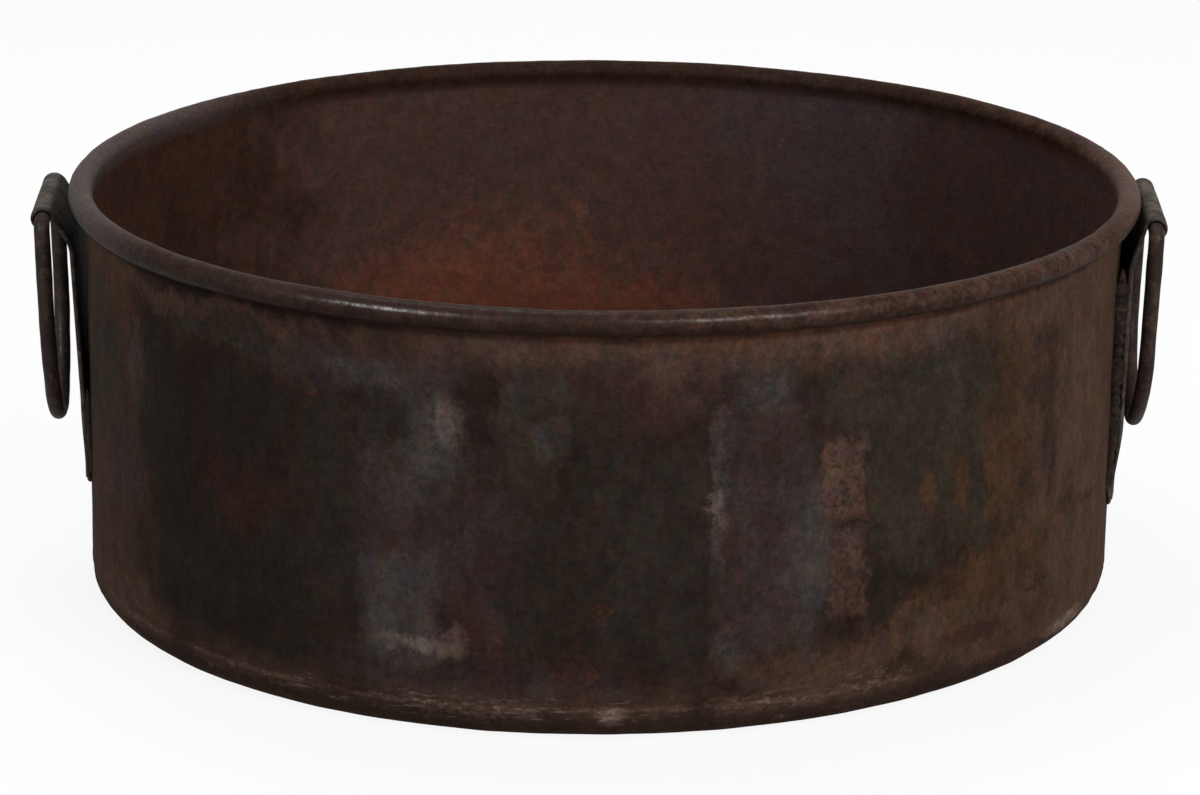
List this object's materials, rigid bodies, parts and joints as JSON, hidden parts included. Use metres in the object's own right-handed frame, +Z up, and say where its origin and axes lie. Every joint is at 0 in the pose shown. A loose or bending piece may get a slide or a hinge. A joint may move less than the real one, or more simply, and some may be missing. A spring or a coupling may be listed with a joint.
{
  "type": "cooking pot",
  "caption": "Low round pan of sheet iron with a wired rim and a drop handle hinged on each side.",
  "frame": {"origin": "centre of the flat underside, at floor level", "axes": "+X to the right-hand handle as seen from the front, +Y to the back, +Z up"},
  "size_m": [0.8089, 0.7838, 0.2985],
  "materials": {
    "wall_iron": "old smoked iron, dull, with rust",
    "base_iron": "old smoked iron, dull, with rust",
    "weld_iron": "rough weld bead",
    "strap_iron": "hammered plate, dull",
    "rod_iron": "handled rod, low sheen"
  },
  "bodies": {
    "pot": {"wall": "wall_iron", "wall_seam_weld": "weld_iron", "rim_wire": "rod_iron", "base_pan": "base_iron", "base_weld": "weld_iron", "left_strap": "strap_iron", "left_front_weld": "weld_iron", "left_rear_weld": "weld_iron", "left_bottom_weld": "weld_iron", "right_strap": "strap_iron", "right_front_weld": "weld_iron", "right_rear_weld": "weld_iron", "right_bottom_weld": "weld_iron"},
    "left_handle": {"left_ring": "rod_iron"},
    "right_handle": {"right_ring": "rod_iron"}
  },
  "joints": [
    {"name": "left_ring_swing", "type": "hinge", "parent": "pot", "child": "left_handle", "pos_m": [-0.39339, -0.01718, 0.2746], "axis": [-0.0436, 0.999, 0], "range_deg": [-4, 214]},
    {"name": "right_ring_swing", "type": "hinge", "parent": "pot", "child": "right_handle", "pos_m": [0.39344, -0.01787, 0.2696], "axis": [-0.0454, -0.999, 0], "range_deg": [-1.5, 203]}
  ]
}
